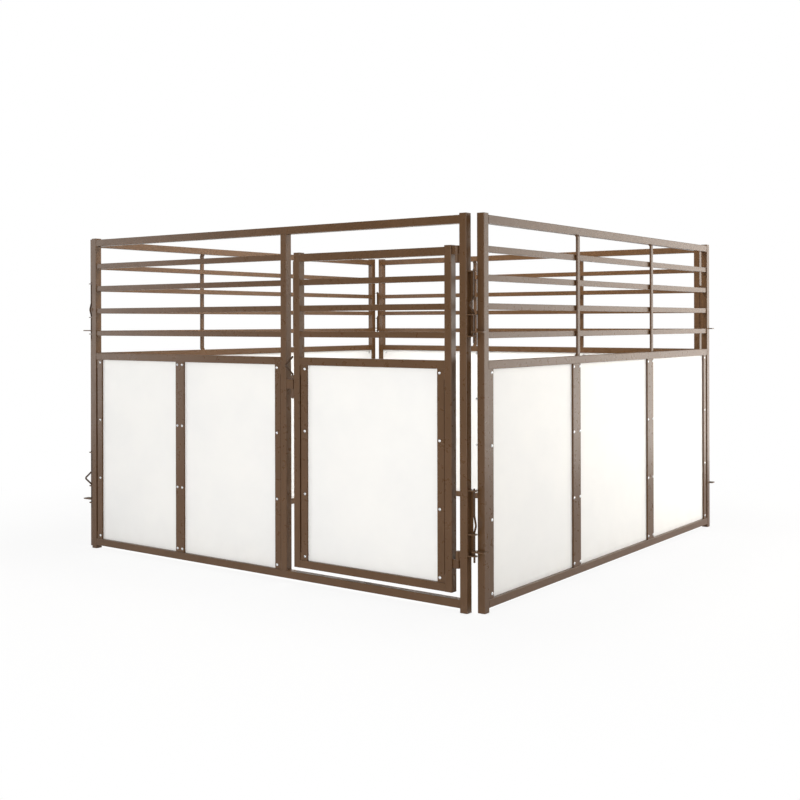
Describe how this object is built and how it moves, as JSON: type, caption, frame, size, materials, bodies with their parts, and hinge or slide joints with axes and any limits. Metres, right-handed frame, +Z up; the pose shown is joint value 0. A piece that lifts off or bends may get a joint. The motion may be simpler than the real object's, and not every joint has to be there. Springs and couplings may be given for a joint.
{
  "type": "horse stall",
  "caption": "Square free-standing horse stall of steel tube panels with white boards below, barred grille above and a hinged door, pinned at the corners.",
  "frame": {"origin": "centre of the stall's plan, on the ground", "axes": "+Z up, +X to the right and -Y outwards through the panel that holds the door"},
  "size_m": [3.706, 3.6412, 2.377],
  "materials": {
    "frame": "semi-gloss",
    "rods": "semi-gloss",
    "boards": "satin"
  },
  "bodies": {
    "front_panel": {"front_post_left": "frame", "front_post_middle": "frame", "front_post_right": "frame", "front_rail_top": "frame", "front_rail_middle": "frame", "front_rail_bottom": "frame", "front_bar_1": "frame", "front_bar_2": "frame", "front_bar_3": "frame", "front_bar_4": "frame", "front_board_1": "boards", "front_board_2": "boards"},
    "right_panel": {"right_post_left": "frame", "right_post_right": "frame", "right_rail_top": "frame", "right_rail_middle": "frame", "right_rail_bottom": "frame", "right_bar_1": "frame", "right_bar_2": "frame", "right_bar_3": "frame", "right_bar_4": "frame", "right_board_1": "boards", "right_board_2": "boards", "right_board_3": "boards"},
    "back_panel": {"back_post_left": "frame", "back_post_right": "frame", "back_rail_top": "frame", "back_rail_middle": "frame", "back_rail_bottom": "frame", "back_bar_1": "frame", "back_bar_2": "frame", "back_bar_3": "frame", "back_bar_4": "frame", "back_board_1": "boards", "back_board_2": "boards", "back_board_3": "boards"},
    "left_panel": {"left_post_left": "frame", "left_post_right": "frame", "left_rail_top": "frame", "left_rail_middle": "frame", "left_rail_bottom": "frame", "left_bar_1": "frame", "left_bar_2": "frame", "left_bar_3": "frame", "left_bar_4": "frame", "left_board_1": "boards", "left_board_2": "boards", "left_board_3": "boards"},
    "door": {"door_frame": "frame", "door_board": "boards"},
    "latch_rod": {"latch_rod": "rods"},
    "rod_front_left_low": {"rod_front_left_low": "rods"},
    "rod_front_left_high": {"rod_front_left_high": "rods"},
    "rod_front_right_low": {"rod_front_right_low": "rods"},
    "rod_front_right_high": {"rod_front_right_high": "rods"},
    "rod_back_left_low": {"rod_back_left_low": "rods"},
    "rod_back_left_high": {"rod_back_left_high": "rods"},
    "rod_back_right_low": {"rod_back_right_low": "rods"},
    "rod_back_right_high": {"rod_back_right_high": "rods"}
  },
  "joints": [
    {"name": "door_swing", "type": "hinge", "parent": "front_panel", "child": "door", "pos_m": [1.6664, -1.7817, 1.2], "axis": [0, 0, 1], "range_deg": [0, 120]},
    {"name": "latch_lift", "type": "slide", "parent": "door", "child": "latch_rod", "axis": [0, 0, 1], "range_m": [0, 0.13]},
    {"name": "rack_right", "type": "hinge", "parent": "front_panel", "child": "right_panel", "pos_m": [1.776, -1.7703, 1.2], "axis": [0, 0, 1], "range_deg": [-45, 45]},
    {"name": "rack_left", "type": "hinge", "parent": "front_panel", "child": "left_panel", "pos_m": [-1.776, -1.7703, 1.2], "axis": [0, 0, 1], "range_deg": [-45, 45]},
    {"name": "rack_back", "type": "hinge", "parent": "right_panel", "child": "back_panel", "pos_m": [1.776, 1.7703, 1.2], "axis": [0, 0, 1], "range_deg": [-45, 45]},
    {"name": "lift_front_left_low", "type": "slide", "parent": "front_panel", "child": "rod_front_left_low", "axis": [0, 0, 1], "range_m": [0, 0.12]},
    {"name": "lift_front_left_high", "type": "slide", "parent": "front_panel", "child": "rod_front_left_high", "axis": [0, 0, 1], "range_m": [0, 0.12]},
    {"name": "lift_front_right_low", "type": "slide", "parent": "front_panel", "child": "rod_front_right_low", "axis": [0, 0, 1], "range_m": [0, 0.12]},
    {"name": "lift_front_right_high", "type": "slide", "parent": "front_panel", "child": "rod_front_right_high", "axis": [0, 0, 1], "range_m": [0, 0.12]},
    {"name": "lift_back_left_low", "type": "slide", "parent": "back_panel", "child": "rod_back_left_low", "axis": [0, 0, 1], "range_m": [0, 0.12]},
    {"name": "lift_back_left_high", "type": "slide", "parent": "back_panel", "child": "rod_back_left_high", "axis": [0, 0, 1], "range_m": [0, 0.12]},
    {"name": "lift_back_right_low", "type": "slide", "parent": "back_panel", "child": "rod_back_right_low", "axis": [0, 0, 1], "range_m": [0, 0.12]},
    {"name": "lift_back_right_high", "type": "slide", "parent": "back_panel", "child": "rod_back_right_high", "axis": [0, 0, 1], "range_m": [0, 0.12]}
  ],
  "couplings": [
    {"joint": "rack_left", "follows": "rack_right", "ratio": 1},
    {"joint": "rack_back", "follows": "rack_right", "ratio": -1}
  ]
}
